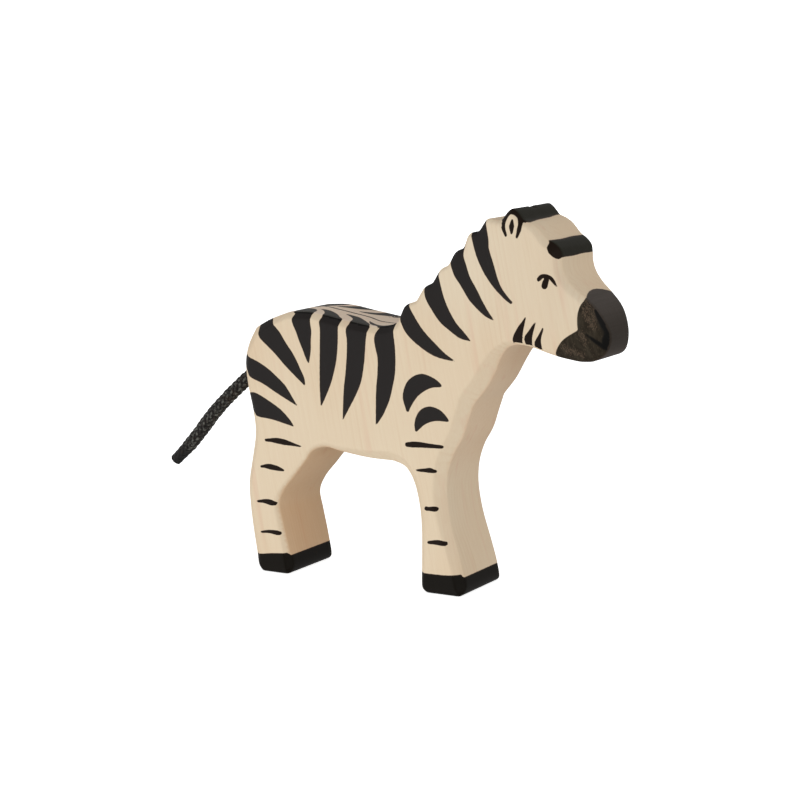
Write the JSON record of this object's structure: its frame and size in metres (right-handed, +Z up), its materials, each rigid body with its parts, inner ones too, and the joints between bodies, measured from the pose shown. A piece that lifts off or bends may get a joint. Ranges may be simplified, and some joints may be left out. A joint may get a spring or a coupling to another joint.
{
  "type": "zebra figurine",
  "caption": "Standing zebra figurine carved from a thick wooden board, with a saw-toothed mane, black painted stripes, muzzle and hooves, and a braided cord for a tail.",
  "frame": {"origin": "on the floor under the middle of the wooden body, halfway through the board's thickness", "axes": "+X towards the head, +Y towards the zebra's left flank, +Z up"},
  "size_m": [0.1608, 0.028, 0.1195],
  "materials": {
    "wood": "bare pale wood, sanded smooth, with black painted stripes, hooves and muzzle",
    "tail_cord": "black braided cord"
  },
  "bodies": {
    "root": {"zebra_body": "wood", "tail_cord": "tail_cord"}
  },
  "joints": []
}
